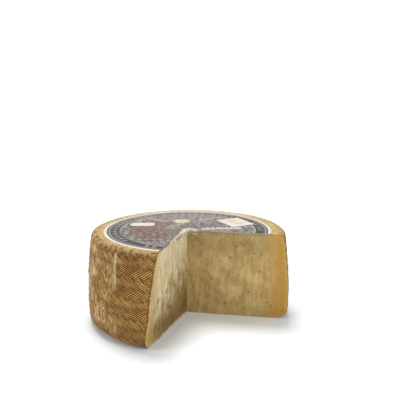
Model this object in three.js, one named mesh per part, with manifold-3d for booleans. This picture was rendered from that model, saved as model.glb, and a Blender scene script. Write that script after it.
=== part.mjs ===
// A wheel of hard sheep's-milk cheese with a deep notch cut into it, and the round label on its top.
// The side keeps the zigzag print of the plaited belt that the curd was pressed in.
// Millimetres, +Z up. The wheel stands on z = 0, and the origin is the middle of its footprint.
import * as THREE from "three";
import { mergeVertices } from "three/addons/utils/BufferGeometryUtils.js";
import Module from "manifold-3d";

const wasm = await Module();
wasm.setup();

// The wheel: 206 mm across and 91 mm high, widest a quarter of the way up.
const wheelHeight = 90.6;
const wheelRadius = 102.6;
const widestHeight = 24;
const taper = 9;
const footprintShift = -2.95;

// Its rounded rims, as quarter ellipses between the side and the flat faces.
const topRim = { reach: 8.2, height: 4.6, rings: 4 };
const bottomRim = { reach: 17, height: 8.6, rings: 4 };

// The plait: rows of slanted ridges that turn the other way from row to row.
const plait = { rows: 9, ridges: 105, depth: 0.75, columnsPerRow: 3, lobeDepth: 0.5 };

// The notch: two leaning knife cuts that meet near the wheel's axis, in a line that leans too.
// Angles are from +X. The knife turned a little on its way down the left cut.
const apexTop = new THREE.Vector2(-1.2, -8.2);
const apexFoot = new THREE.Vector2(-2, 0.5);
const leftCut = { topAngle: -106, footAngle: -110.6, side: -1, phase: 0.4 };
const rightCut = { topAngle: -11.9, footAngle: -10.5, side: 1, phase: 2.1 };
const cutReach = 118;
const cutSteps = { along: 22, up: 17, past: 4 };
const cutWobble = 0.55;

// Small openings in the paste, in rows on each cut face.
const eyes = { perFace: 13, smallest: 0.9, largest: 2.3, depth: 1.1, margin: 11, seed: 7 };

// The label is paper, and two blank stickers lie on it.
const label = { radius: 84.9, thick: 0.4, x: -0.9, y: -3.8, gap: 0.3, sides: 132 };
const squareSticker = { width: 27, length: 35, thick: 0.3, x: 49.3, y: 25.7, turn: 28 };
const stripSticker = { width: 25.8, length: 13.4, thick: 0.3, x: -48.4, y: 16, turn: 1 };

const degrees = Math.PI / 180;

// The barrel shape of the side, before its rims are rounded.
function barrelRadius(height) {
  return wheelRadius - taper * ((height - widestHeight) / wheelHeight) ** 2;
}

// Profile of one rim from the side towards the flat face: [radius, height] for each ring.
function rimRings(rim, sideHeight, direction) {
  return Array.from({ length: rim.rings }, (_, i) => {
    const turn = ((i + 1) / rim.rings) * (Math.PI / 2);
    return [
      barrelRadius(sideHeight) - rim.reach * (1 - Math.cos(turn)),
      sideHeight + direction * rim.height * Math.sin(turn),
    ];
  });
}

// The whole wheel, uncut: rings of points from the underside's middle to the top's middle.
// On the side each ring is turned against the one below, so that the ridges slant and fold.
function wheelGeometry() {
  const columns = plait.ridges * 2;
  const lowest = bottomRim.height;
  const highest = wheelHeight - topRim.height;
  const rings = rimRings(bottomRim, lowest, -1)
    .reverse()
    .map(([radius, height]) => ({ radius, height, shift: 0, kind: "rim" }));
  let shift = 0;
  for (let row = 0; row <= plait.rows; row++) {
    const height = lowest + ((highest - lowest) * row) / plait.rows;
    rings.push({ radius: barrelRadius(height), height, shift, kind: "side", row });
    shift += row % 2 ? -plait.columnsPerRow : plait.columnsPerRow;
  }
  const lastShift = rings.at(-1).shift;
  for (const [radius, height] of rimRings(topRim, highest, 1)) {
    rings.push({ radius, height, shift: lastShift, kind: "rim" });
  }

  const positions = [0, 0, 0];
  for (const ring of rings) {
    for (let column = 0; column < columns; column++) {
      const angle = ((column + ring.shift) / columns) * 2 * Math.PI;
      const radius = ring.radius + relief(ring, column);
      positions.push(radius * Math.cos(angle), radius * Math.sin(angle), ring.height);
    }
  }
  positions.push(0, 0, wheelHeight);

  const index = [];
  const top = positions.length / 3 - 1;
  const at = (ring, column) => 1 + ring * columns + (column % columns);
  for (let column = 0; column < columns; column++) {
    index.push(0, at(0, column + 1), at(0, column));
    for (let ring = 0; ring < rings.length - 1; ring++) {
      const [a, b] = [at(ring, column), at(ring, column + 1)];
      const [c, d] = [at(ring + 1, column), at(ring + 1, column + 1)];
      index.push(a, b, d, a, d, c);
    }
    index.push(at(rings.length - 1, column), at(rings.length - 1, column + 1), top);
  }
  const geometry = new THREE.BufferGeometry();
  geometry.setAttribute("position", new THREE.Float32BufferAttribute(positions, 3));
  geometry.setIndex(index);
  return geometry;
}

// Ridges and grooves alternate along a ring; on the rims they melt into broad lobes.
function relief(ring, column) {
  if (ring.kind === "side") {
    return column % 2 ? -plait.depth / 2 : plait.depth / 2;
  }
  const flat = ring.height <= 0 || ring.height >= wheelHeight ? 0 : 1;
  return flat * (plait.lobeDepth / 2) * Math.cos((column / 4) * 2 * Math.PI);
}

// Direction of a cut at a height, seen from above, and the normal from the notch into the cheese.
function cutFrame(cut, height) {
  const turn = cut.footAngle + ((cut.topAngle - cut.footAngle) * height) / wheelHeight;
  const along = new THREE.Vector2(Math.cos(turn * degrees), Math.sin(turn * degrees));
  const into = new THREE.Vector2(-along.y, along.x).multiplyScalar(cut.side);
  return { along, into };
}

// Where the two cuts meet at a height. clear widens the notch evenly.
function apexAt(height, clear = 0) {
  const [left, right] = [cutFrame(leftCut, height).into, cutFrame(rightCut, height).into];
  const size = left.x * right.y - left.y * right.x;
  const apex = apexFoot.clone().lerp(apexTop, height / wheelHeight);
  apex.x += (clear * (right.y - left.y)) / size;
  apex.y += (clear * (left.x - right.x)) / size;
  return apex;
}

// The slow waves that a knife leaves in a firm paste. They fade out where the cuts meet.
function wobbleAt(cut, distance, height) {
  const waves =
    0.55 * Math.sin(distance / 15 + height / 24 + cut.phase) +
    0.3 * Math.sin(distance / 7.3 - height / 9.1 + 3 * cut.phase) +
    0.15 * Math.sin(height / 4.1 + distance / 29);
  return cutWobble * waves * Math.min(1, distance / 9);
}

// A point of a cut face, at a distance from the apex line.
function cutPoint(cut, distance, height, clear = 0) {
  const { along, into } = cutFrame(cut, height);
  const apex = apexAt(height, clear);
  const wobble = wobbleAt(cut, distance, height);
  return new THREE.Vector3(
    apex.x + along.x * distance + into.x * wobble,
    apex.y + along.y * distance + into.y * wobble,
    height,
  );
}

// The space of the notch as a closed body: one loop of points for each height, from the right cut's
// far end to the apex, out along the left cut and round by a corner outside the wheel.
function notchGeometry(clear = 0) {
  const loop = [];
  for (let i = cutSteps.along; i >= 0; i--) loop.push([rightCut, (cutReach * i) / cutSteps.along]);
  for (let i = 1; i <= cutSteps.along; i++) loop.push([leftCut, (cutReach * i) / cutSteps.along]);
  const positions = [];
  const bottom = -cutSteps.past;
  const rise = wheelHeight + 2 * cutSteps.past;
  for (let level = 0; level <= cutSteps.up; level++) {
    const height = bottom + (rise * level) / cutSteps.up;
    for (const [cut, distance] of loop) {
      positions.push(...cutPoint(cut, distance, height, clear).toArray());
    }
    positions.push(cutReach, -cutReach, height);
  }
  const index = [];
  const count = loop.length + 1;
  for (let level = 0; level < cutSteps.up; level++) {
    for (let i = 0; i < count; i++) {
      const [a, b] = [level * count + i, level * count + ((i + 1) % count)];
      index.push(a, b, b + count, a, b + count, a + count);
    }
  }
  const levelOutline = (start) =>
    Array.from({ length: count }, (_, i) => {
      const at = 3 * (start + i);
      return new THREE.Vector2(positions[at], positions[at + 1]);
    });
  const topStart = cutSteps.up * count;
  for (const [a, b, c] of THREE.ShapeUtils.triangulateShape(levelOutline(0), [])) {
    index.push(a, c, b);
  }
  for (const [a, b, c] of THREE.ShapeUtils.triangulateShape(levelOutline(topStart), [])) {
    index.push(topStart + a, topStart + b, topStart + c);
  }
  const geometry = new THREE.BufferGeometry();
  geometry.setAttribute("position", new THREE.Float32BufferAttribute(positions, 3));
  geometry.setIndex(index);
  return geometry;
}

// A repeatable draw of numbers from 0 to 1.
function drawFrom(seed) {
  let state = seed;
  return () => {
    state = (state * 16807) % 2147483647;
    return state / 2147483647;
  };
}

// Flattened pits spread over a cut face, one in each stripe of it.
function eyeGeometries(cut) {
  const draw = drawFrom(eyes.seed + cut.phase * 1000);
  const span = wheelRadius - 2 * eyes.margin;
  const rise = wheelHeight - 2 * eyes.margin;
  return Array.from({ length: eyes.perFace }, (_, i) => {
    const distance = eyes.margin + (span * (i + 0.2 + 0.6 * draw())) / eyes.perFace;
    const height = eyes.margin + rise * draw();
    const size = eyes.smallest + (eyes.largest - eyes.smallest) * draw() ** 2;
    const { into } = cutFrame(cut, height);
    const geometry = new THREE.IcosahedronGeometry(1, 1);
    geometry.scale(size, eyes.depth, size * (0.7 + 0.8 * draw()));
    geometry.rotateY(Math.PI * draw());
    geometry.rotateZ(Math.atan2(into.y, into.x) - Math.PI / 2);
    const { x, y, z } = cutPoint(cut, distance, height);
    return geometry.translate(x, y, z);
  });
}

// Closed geometry as a solid that can be joined and cut, and back.
function solid(geometry) {
  const bare = new THREE.BufferGeometry();
  bare.setAttribute("position", geometry.getAttribute("position"));
  if (geometry.index) bare.setIndex(geometry.index);
  const merged = mergeVertices(bare, 1e-4);
  return new wasm.Manifold(
    new wasm.Mesh({
      numProp: 3,
      vertProperties: new Float32Array(merged.attributes.position.array),
      triVerts: new Uint32Array(merged.index.array),
    }),
  );
}

function geometryOf(body) {
  const mesh = body.getMesh();
  const geometry = new THREE.BufferGeometry();
  geometry.setAttribute("position", new THREE.Float32BufferAttribute(mesh.vertProperties, 3));
  geometry.setIndex(Array.from(mesh.triVerts));
  geometry.computeVertexNormals();
  return geometry;
}

// The cheese: rind and paste are one solid, with the notch and the eyes taken out.
function cheeseGeometry() {
  const pits = [...eyeGeometries(leftCut), ...eyeGeometries(rightCut)];
  let body = solid(wheelGeometry()).subtract(solid(notchGeometry()));
  for (const pit of pits) body = body.subtract(solid(pit));
  return geometryOf(body);
}

// The label: a disc on the top face, cut through together with the cheese.
function labelGeometry() {
  const disc = new THREE.CylinderGeometry(label.radius, label.radius, label.thick, label.sides);
  disc.rotateX(Math.PI / 2);
  disc.translate(label.x, label.y, wheelHeight + label.thick / 2);
  return geometryOf(solid(disc).subtract(solid(notchGeometry(label.gap))));
}

function paper(colour) {
  return new THREE.MeshStandardMaterial({ color: colour, roughness: 0.55, metalness: 0 });
}

function stickerMesh(name, sticker) {
  const mesh = new THREE.Mesh(
    new THREE.BoxGeometry(sticker.width, sticker.length, sticker.thick),
    paper(0xece4d8),
  );
  mesh.name = name;
  mesh.position.set(sticker.x, sticker.y, wheelHeight + label.thick + sticker.thick / 2);
  mesh.rotation.z = sticker.turn * degrees;
  return mesh;
}

const rind = new THREE.MeshStandardMaterial({ color: 0xa27d42, roughness: 0.7, metalness: 0 });

const cheese = new THREE.Mesh(cheeseGeometry(), rind);
cheese.name = "cheese";
const labelMesh = new THREE.Mesh(labelGeometry(), paper(0x6f6862));
labelMesh.name = "label";

const wheel = new THREE.Group();
wheel.position.y = footprintShift;
wheel.add(cheese, labelMesh);
wheel.add(stickerMesh("square_sticker", squareSticker), stickerMesh("strip_sticker", stripSticker));

const part = new THREE.Group();
part.add(wheel);

export default part;
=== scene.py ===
import math

import bmesh
import bpy
import numpy as np
from mathutils import Matrix, Vector, noise


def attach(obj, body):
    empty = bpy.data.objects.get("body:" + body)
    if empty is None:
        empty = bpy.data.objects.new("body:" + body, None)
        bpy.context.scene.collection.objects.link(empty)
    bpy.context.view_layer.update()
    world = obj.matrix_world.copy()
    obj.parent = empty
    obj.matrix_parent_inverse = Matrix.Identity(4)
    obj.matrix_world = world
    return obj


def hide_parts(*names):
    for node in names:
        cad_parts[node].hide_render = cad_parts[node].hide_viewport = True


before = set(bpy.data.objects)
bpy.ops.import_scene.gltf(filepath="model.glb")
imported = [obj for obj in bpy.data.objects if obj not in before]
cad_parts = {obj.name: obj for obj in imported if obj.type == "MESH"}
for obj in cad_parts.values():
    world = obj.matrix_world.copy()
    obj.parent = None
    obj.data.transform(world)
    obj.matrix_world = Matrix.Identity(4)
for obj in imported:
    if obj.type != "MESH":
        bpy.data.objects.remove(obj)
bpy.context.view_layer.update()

mm = 0.001
tau = 2 * math.pi


# Helpers for material nodes


class Field:
    # One output of a node. Sums, products and the like of fields make math nodes.
    def __init__(self, socket):
        self.socket = socket

    def __add__(self, other):
        return calc("ADD", self, other)

    def __radd__(self, other):
        return calc("ADD", other, self)

    def __sub__(self, other):
        return calc("SUBTRACT", self, other)

    def __rsub__(self, other):
        return calc("SUBTRACT", other, self)

    def __mul__(self, other):
        return calc("MULTIPLY", self, other)

    def __rmul__(self, other):
        return calc("MULTIPLY", other, self)

    def __truediv__(self, other):
        return calc("DIVIDE", self, other)

    def __abs__(self):
        return calc("ABSOLUTE", self)


def colour(red, green, blue):
    # From the eight-bit channels of a picture to the linear ones of a shader.
    channels = [c / 255 for c in (red, green, blue)]
    return tuple(c / 12.92 if c < 0.04045 else ((c + 0.055) / 1.055) ** 2.4 for c in channels) + (1,)


def feed(node, inputs):
    # Links each field to the input of that name or number, and sets the other values.
    for key, value in inputs.items():
        if isinstance(value, Field):
            node.id_data.links.new(value.socket, node.inputs[key])
        else:
            node.inputs[key].default_value = value


def fed(node, inputs, output=0):
    feed(node, inputs)
    return Field(node.outputs[output])


def nodeBeside(kind, *values):
    # A new node in the tree of the first field among the values.
    tree = next(value.socket.id_data for value in values if isinstance(value, Field))
    return tree.nodes.new("ShaderNode" + kind)


def calc(operation, *values):
    node = nodeBeside("Math", *values)
    node.operation = operation
    return fed(node, dict(enumerate(values)))


def mixColour(factor, first, second, kind="MIX"):
    # Of the mix node, inputs 6 and 7 and output 2 are the colour ones.
    node = nodeBeside("Mix", factor, first, second)
    node.data_type = "RGBA"
    node.blend_type = kind
    return fed(node, {0: factor, 6: first, 7: second}, 2)


def tinted(tone, shade):
    return mixColour(1.0, tone, joinXyz(shade, shade, shade), "MULTIPLY")


def smoothMask(value, low, high):
    # 0 below low, 1 above high and a smooth step between them.
    node = nodeBeside("MapRange", value)
    node.interpolation_type = "SMOOTHSTEP"
    return fed(node, {"Value": value, "From Min": low, "From Max": high})


def fadeMask(value, low, high):
    return 1 - smoothMask(value, low, high)


def remap(value, low, high, newLow, newHigh):
    inputs = {"Value": value, "From Min": low, "From Max": high, "To Min": newLow, "To Max": newHigh}
    return fed(nodeBeside("MapRange", value), inputs)


def joinXyz(x, y, z):
    return fed(nodeBeside("CombineXYZ", x, y, z), {0: x, 1: y, 2: z})


def splitXyz(vector):
    node = nodeBeside("SeparateXYZ", vector)
    feed(node, {0: vector})
    return [Field(output) for output in node.outputs]


def noiseOf(vector, scale, detail=3, roughness=0.55, distortion=0):
    inputs = {"Vector": vector, "Scale": scale, "Detail": detail, "Roughness": roughness,
              "Distortion": distortion}
    return fed(nodeBeside("TexNoise", vector), inputs, "Fac")


def chanceOf(place, dimensions):
    # A random number from 0 to 1 for each place, a number with 1D and a vector with 3D.
    node = nodeBeside("TexWhiteNoise", place)
    node.noise_dimensions = dimensions
    return fed(node, {"W" if dimensions == "1D" else "Vector": place}, "Value")


def cellDistance(vector, scale):
    return fed(nodeBeside("TexVoronoi", vector), {"Vector": vector, "Scale": scale}, "Distance")


def bumpOf(height, distance, strength):
    inputs = {"Height": height, "Distance": distance, "Strength": strength}
    return fed(nodeBeside("Bump", height), inputs, "Normal")


def attributeOf(tree, name, output):
    node = tree.nodes.new("ShaderNodeAttribute")
    node.attribute_name = name
    return Field(node.outputs[output])


def objectPlace(tree):
    return Field(tree.nodes.new("ShaderNodeTexCoord").outputs["Object"])


def newMaterial(name):
    material = bpy.data.materials.new(name)
    material.use_nodes = True
    tree = material.node_tree
    return material, tree, tree.nodes["Principled BSDF"]


def newGroup(name, inputs, outputs):
    # A node group whose sockets are all numbers but those named Vector.
    group = bpy.data.node_groups.new(name, "ShaderNodeTree")
    for direction, socketNames in (("INPUT", inputs), ("OUTPUT", outputs)):
        for socketName in socketNames:
            kind = "NodeSocketVector" if socketName == "Vector" else "NodeSocketFloat"
            group.interface.new_socket(socketName, in_out=direction, socket_type=kind)
    given = fieldsOf(group.nodes.new("NodeGroupInput"))
    return group, given, group.nodes.new("NodeGroupOutput")


def useGroup(group, **values):
    node = nodeBeside("Group", *values.values())
    node.node_tree = group
    feed(node, values)
    return fieldsOf(node)


def fieldsOf(node):
    return {output.name: Field(output) for output in node.outputs}


# Camera, lights and floor

cameraValues = {"place": (11.6, -578.2, 232.1), "pitch": 78.99, "lens": 52.02, "sensor": 36}

lightValues = {
    "worldStrength": 0.49,
    "worldColour": (0.91, 0.955, 1.0),
    "backdrop": 1.3,        # the world as the camera sees it, plain white
    "top": {"turn": 110, "rise": 72, "spread": 24, "strength": 1.95, "colour": (1.0, 0.985, 0.96)},
    "left": {"turn": 205, "rise": 30, "spread": 30, "strength": 0.9, "colour": (1.0, 0.975, 0.94)},
    "right": {"turn": -38, "rise": 32, "spread": 30, "strength": 0.71, "colour": (1.0, 0.98, 0.95)},
    "floorColour": (0.915, 0.95, 0.975),
}


def makeCamera():
    data = bpy.data.cameras.new("camera")
    data.lens = cameraValues["lens"]
    data.sensor_width = cameraValues["sensor"]
    data.clip_start, data.clip_end = 0.01, 50
    camera = bpy.data.objects.new("camera", data)
    camera.location = Vector(cameraValues["place"]) * mm
    camera.rotation_euler = (math.radians(cameraValues["pitch"]), 0, 0)
    bpy.context.collection.objects.link(camera)
    bpy.context.scene.camera = camera


def makeSoftLight(name, values):
    # A broad lamp far away: turn is the side that it shines from, rise its height in degrees.
    data = bpy.data.lights.new(name, "SUN")
    data.angle = math.radians(values["spread"])
    data.energy = values["strength"]
    data.color = values["colour"]
    light = bpy.data.objects.new(name, data)
    turn, rise = math.radians(values["turn"]), math.radians(values["rise"])
    away = Vector((math.cos(turn) * math.cos(rise), math.sin(turn) * math.cos(rise), math.sin(rise)))
    light.location = away * 2
    light.rotation_euler = away.to_track_quat("Z", "Y").to_euler()
    bpy.context.collection.objects.link(light)


def makeStudio():
    world = bpy.data.worlds.new("studio")
    bpy.context.scene.world = world
    world.use_nodes = True
    tree = world.node_tree
    ambient = {"Color": (*lightValues["worldColour"], 1), "Strength": lightValues["worldStrength"]}
    white = {"Color": (1, 1, 1, 1), "Strength": lightValues["backdrop"]}
    seen = fieldsOf(tree.nodes.new("ShaderNodeLightPath"))["Is Camera Ray"]
    shown = fed(tree.nodes.new("ShaderNodeMixShader"), {
        0: seen,
        1: fed(tree.nodes["Background"], ambient),
        2: fed(tree.nodes.new("ShaderNodeBackground"), white),
    })
    feed(tree.nodes["World Output"], {"Surface": shown})
    for name in ("top", "left", "right"):
        makeSoftLight(name + "Light", lightValues[name])
    bpy.context.scene.view_settings.view_transform = "Standard"

    mesh = bpy.data.meshes.new("floor")
    half = 6
    corners = [(-half, -half, 0), (half, -half, 0), (half, half, 0), (-half, half, 0)]
    mesh.from_pydata(corners, [], [(0, 1, 2, 3)])
    floor = bpy.data.objects.new("floor", mesh)
    bpy.context.collection.objects.link(floor)
    material, tree, shader = newMaterial("floorPaint")
    feed(shader, {"Base Color": (*lightValues["floorColour"], 1), "Roughness": 0.9})
    mesh.materials.append(material)


makeCamera()
makeStudio()
print("camera, floor and lights made")


# The shape of the wheel and of its plaited print, in millimetres

wheel = {
    "axisY": -2.95,
    "height": 90.6,
    "radius": 102.6,
    "widestHeight": 24,
    "taper": 9,
    "topRim": (8.2, 4.6),
    "bottomRim": (17.0, 8.6),
}

plait = {
    "strands": 68,          # round the whole wheel, in one row
    "floats": 3,            # how many strands each one passes over
    "rows": 11,
    "rowHeight": 9.5,
    "underLabel": 1.2,      # plain cheese between the last row and the flat top
    "lines": 3,             # fine straw lines in each strand
    "columnsPerLine": 4,
    "stepsPerRow": 8,
    "crown": 0.58,          # how far a strand stands out of its grooves
    "tuck": 0.65,           # how far its ends dive under the next row
    "lineDepth": 0.2,
    "lumps": 0.45,
    "warp": 1.0,
    "fibre": 1.1,           # upright fibres where the print is rubbed down
    "creases": 0.3,         # how deep the creases on the shoulder are
    "rubbed": {"left": 0.5, "patches": 0.46, "foot": 0.3, "most": 0.95},
    "startAngle": -60,      # where the rows begin and end, inside the notch
    "seamAngle": -130.6,
    "seamFoot": 54,
    "seamHead": 84,
    "seamSlant": 0.03,
    "seamWidth": 0.85,
    "seamRise": 0.55,
}


def barrelRadius(height):
    return wheel["radius"] - wheel["taper"] * ((height - wheel["widestHeight"]) / wheel["height"]) ** 2


def makeProfile():
    # The outline from the edge of the flat base to the edge of the flat top, and the length along it.
    reach, rise = wheel["bottomRim"]
    topReach, topRise = wheel["topRim"]
    shoulder = wheel["height"] - topRise
    quarter = np.linspace(0, math.pi / 2, 40)
    bow = quarter[::-1]
    foot = np.stack([barrelRadius(rise) - reach * (1 - np.cos(bow)), rise - rise * np.sin(bow)], 1)
    heights = np.linspace(rise, shoulder, 120)[1:-1]
    side = np.stack([barrelRadius(heights), heights], 1)
    inward = topReach * (1 - np.cos(quarter))
    head = np.stack([barrelRadius(shoulder) - inward, shoulder + topRise * np.sin(quarter)], 1)
    outline = np.concatenate([foot, side, head])
    length = np.concatenate([[0], np.cumsum(np.linalg.norm(np.diff(outline, axis=0), axis=1))])
    return outline, length


outline, outlineLength = makeProfile()
fullLength = outlineLength[-1]
startTurn = math.radians(plait["startAngle"])
rowHeight = plait["rowHeight"]
firstRow = fullLength - plait["underLabel"] - plait["rows"] * rowHeight
lastRow = firstRow + plait["rows"] * rowHeight
rowSpan = plait["floats"] / 2       # a row's height in v
firstV = 0.25
lastV = firstV + plait["rows"] * rowSpan


def randomOf(first, second):
    # A random number from 0 to 1 for each pair of whole numbers, by the usual sine hash.
    wave = np.sin(first * 12.9898 + second * 78.233) * 43758.5453
    return wave - np.floor(wave)


def strandAt(u, v):
    # u counts strands round the wheel, and v counts them upwards. Every strand lies aslant, passes
    # over three others and then dives, and the strands of the next row cross it.
    p, q = u + v, v - u
    i, j = np.floor(p), np.floor(q)
    floats = plait["floats"]
    m = np.mod(i + j, 2 * floats)
    rising = m < floats - 0.5
    step = np.mod(m, floats)
    along = np.where(rising, p - i, q - j) + step
    across = np.where(rising, q - j, p - i)
    firstCell = np.where(rising, i - step, i)
    secondCell = np.where(rising, j, j - step)
    return rising, along, across, randomOf(firstCell, secondCell)


def smoothStep(value, low, high):
    t = np.clip((value - low) / (high - low), 0, 1)
    return t * t * (3 - 2 * t)


def noiseAt(x, y, z, size, seed, octaves=2):
    # Smooth noise at each place, in the shape of the arrays given.
    x, y, z = np.broadcast_arrays(x, y, z)
    offset = Vector((seed * 7.31, seed * 3.17, seed * 1.73))
    places = zip(x.ravel(), y.ravel(), z.ravel())
    values = [noise.fractal(Vector(p) / size + offset, 1.0, 2.0, octaves) for p in places]
    return np.reshape(values, x.shape)


def pointsAt(*coordinates):
    return np.stack(np.broadcast_arrays(*coordinates), -1)


def wearAt(turned, height, unevenness):
    # How far the print is rubbed down: on the far left, at the foot and in soft patches.
    amounts = plait["rubbed"]
    left = amounts["left"] * smoothStep(-turned, 122, 140) * (1 - smoothStep(-turned, 180, 235))
    patches = amounts["patches"] * smoothStep(unevenness, -0.15, 0.55)
    low = amounts["foot"] * (1 - smoothStep(height, 2, 9))
    return np.clip(left + patches + low, 0, amounts["most"])


def plaitRelief(u, v, rowRises, wear):
    # How far the surface stands out: round strands that dive at their ends, with fine straw lines.
    rising, along, across, chance = strandAt(u, v)
    floats = plait["floats"]
    middle = 1 - np.abs(2 * across - 1) ** 2.6
    ends = smoothStep(np.minimum(along, floats - along), 0, 0.7)
    tilt = (along - floats / 2) * np.where(rising, 1, -1) * 0.06
    lines = -np.cos(tau * plait["lines"] * across) * (rising == rowRises)
    tuck = plait["tuck"] * (0.45 + 1.1 * chance)
    body = plait["crown"] * (middle - 0.6) - tuck * (1 - ends) + tilt + 0.3 * (chance - 0.5)
    body = body * (1 - 0.62 * wear) + plait["lineDepth"] * lines * middle * (1 - 0.8 * wear)
    inRows = smoothStep(v, 0.0, 0.6) * (1 - 0.6 * smoothStep(v, lastV - 1.6, lastV - 0.4))
    return body * inRows * (1 - smoothStep(v, lastV - 0.3, lastV + 0.4))


def shoulderRelief(u, v, lengths):
    # Short creases of the cloth that run over the rim towards the label.
    creases = smoothStep(noiseAt(u * 2.6, lengths * 0.09, 0.0, 1.0, 11, 3), 0.02, 0.4)
    onShoulder = smoothStep(v, lastV, lastV + 0.3) * (1 - smoothStep(v, lastV + 0.6, lastV + 0.9))
    return -plait["creases"] * creases * onShoulder


def seamMask(turned, height):
    # The overlap of the belt leaves one raised line, from under the shoulder to half way down.
    drift = 0.4 * np.sin(height / 9) + plait["seamSlant"] * (height - wheel["height"])
    offset = (turned - plait["seamAngle"]) / 360 * tau * wheel["radius"] + drift
    line = np.exp(-((offset / plait["seamWidth"]) ** 2))
    upper = smoothStep(height, plait["seamFoot"] - 4, plait["seamFoot"] + 8)
    return line * upper * (1 - smoothStep(height, plait["seamHead"], plait["seamHead"] + 4))


# The notch: two leaning knife cuts, in millimetres from the wheel's axis

notch = {
    "apexTop": (-1.2, -8.2),
    "apexFoot": (-2.0, 0.5),
    "left": {"topAngle": -106, "footAngle": -110.6, "side": -1, "phase": 0.4},
    "right": {"topAngle": -11.9, "footAngle": -10.5, "side": 1, "phase": 2.1},
    "reach": 118,
    "wobble": 0.55,
    "along": 130,           # how many points each cut has along it and up
    "up": 104,
    "past": 4,              # how far the cutter stands out above and below
    "fold": 50,             # edges of the cut faces sharper than this, in degrees, stay sharp
    "drag": 0.14,           # upright marks of the knife
    "grain": 0.34,
    "torn": 1.5,            # the broken edge where the cuts meet at the top
    "edge": 0.9,            # the ragged line where a cut meets the rind
}

eyes = {"perFace": 13, "smallest": 0.9, "largest": 2.3, "depth": 1.1, "margin": 11, "seed": 7}


def cutFrame(cut, height):
    share = np.asarray(height, float) / wheel["height"]
    turn = np.radians(cut["footAngle"] + (cut["topAngle"] - cut["footAngle"]) * share)
    along = pointsAt(np.cos(turn), np.sin(turn))
    into = pointsAt(-along[..., 1], along[..., 0]) * cut["side"]
    return along, into


def apexAt(height, clear=0.0):
    left, right = cutFrame(notch["left"], height)[1], cutFrame(notch["right"], height)[1]
    size = left[..., 0] * right[..., 1] - left[..., 1] * right[..., 0]
    share = np.asarray(height, float)[..., None] / wheel["height"]
    apex = np.array(notch["apexFoot"]) * (1 - share) + np.array(notch["apexTop"]) * share
    widen = pointsAt(right[..., 1] - left[..., 1], left[..., 0] - right[..., 0])
    return apex + clear * widen / size[..., None]


def wobbleAt(cut, distance, height):
    waves = 0.55 * np.sin(distance / 15 + height / 24 + cut["phase"])
    waves += 0.3 * np.sin(distance / 7.3 - height / 9.1 + 3 * cut["phase"])
    waves += 0.15 * np.sin(height / 4.1 + distance / 29)
    return notch["wobble"] * waves * np.minimum(1, distance / 9)


def cutPoints(cut, distance, height, extra=0.0, clear=0.0):
    along, into = cutFrame(cut, height)
    apex = apexAt(height, clear)
    offset = wobbleAt(cut, distance, height) + extra
    flat = apex + along * distance[..., None] + into * np.asarray(offset)[..., None]
    return np.concatenate([flat, height[..., None]], -1)


def cutDetail(cut, distance, height):
    # Drag marks of the knife, which run up and down in slow waves, and the short break of the paste.
    wave = 1.5 * np.sin(height / 17)
    drag = noiseAt(distance + wave, height * 0.13, 0.0, 2.6, 20 + cut["phase"], 2)
    grain = noiseAt(distance, height, 0.0, 3.2, 30 + cut["phase"], 4)
    broken = noiseAt(distance, height, 0.0, 2.7, 40 + cut["phase"], 3)
    nearTop = smoothStep(height, wheel["height"] - 16, wheel["height"] - 2)
    torn = notch["torn"] * nearTop * (1 - smoothStep(distance, 12, 48))
    edge = notch["edge"] * smoothStep(distance, 88, 96)
    fade = np.minimum(1, distance / 3)
    return fade * (notch["drag"] * drag + notch["grain"] * grain + (torn + edge) * broken)


def makeMesh(name, points, faces):
    mesh = bpy.data.meshes.new(name)
    shifted = np.asarray(points, float) + np.array([0, wheel["axisY"], 0])
    mesh.from_pydata((shifted * mm).tolist(), [], faces)
    piece = bpy.data.objects.new(name, mesh)
    bpy.context.collection.objects.link(piece)
    return piece


def gridFaces(rows, columns, start=0, closed=True):
    faces = []
    for row in range(rows - 1):
        for column in range(columns if closed else columns - 1):
            a = start + row * columns + column
            b = start + row * columns + (column + 1) % columns
            faces.append((a, b, b + columns, a + columns))
    return faces


def makeCutter(name, steps, levels, clear=0.0, detail=True):
    # The solid that is cut away. clear moves its faces out into the wheel by that much.
    heights = np.linspace(-notch["past"], wheel["height"] + notch["past"], levels)
    outward = np.linspace(0, notch["reach"], steps)
    sides, notes = [], []
    for key, distances in (("right", outward[::-1]), ("left", outward[1:])):
        distance, height = np.meshgrid(distances, heights)
        extra = cutDetail(notch[key], distance, height) if detail else 0.0 * distance
        sides.append(cutPoints(notch[key], distance, height, extra, clear))
        notes.append(pointsAt(distance, height, notch[key]["side"]))
    notes.append(np.zeros((levels, 1, 3)))
    corner = pointsAt(notch["reach"], -notch["reach"], heights)
    rows = np.concatenate([*sides, corner[:, None]], 1)
    count = rows.shape[1]
    faces = gridFaces(levels, count)
    faces.append(tuple(range(count - 1, -1, -1)))
    faces.append(tuple(range((levels - 1) * count, levels * count)))
    piece = makeMesh(name, rows.reshape(-1, 3), faces)
    setAttribute(piece.data, "cut", np.concatenate(notes, 1))
    return piece


def applyBoolean(piece, other, operation):
    modifier = piece.modifiers.new("cut", "BOOLEAN")
    modifier.object = other
    modifier.operation = operation
    modifier.solver = "MANIFOLD"
    evaluated = piece.evaluated_get(bpy.context.evaluated_depsgraph_get())
    mesh = bpy.data.meshes.new_from_object(evaluated)
    piece.modifiers.clear()
    meshes = (piece.data, other.data)
    piece.data = mesh
    mesh.name = piece.name
    bpy.data.objects.remove(other)
    for old in meshes:
        bpy.data.meshes.remove(old)


def drawFrom(state):
    # An endless row of random numbers from 0 to 1.
    while True:
        state = (state * 16807) % 2147483647
        yield state / 2147483647


def ballShape(subdivisions):
    ball = bmesh.new()
    bmesh.ops.create_icosphere(ball, subdivisions=subdivisions, radius=1)
    points = [v.co.copy() for v in ball.verts]
    faces = [[v.index for v in f.verts] for f in ball.faces]
    ball.free()
    return points, faces


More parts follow.
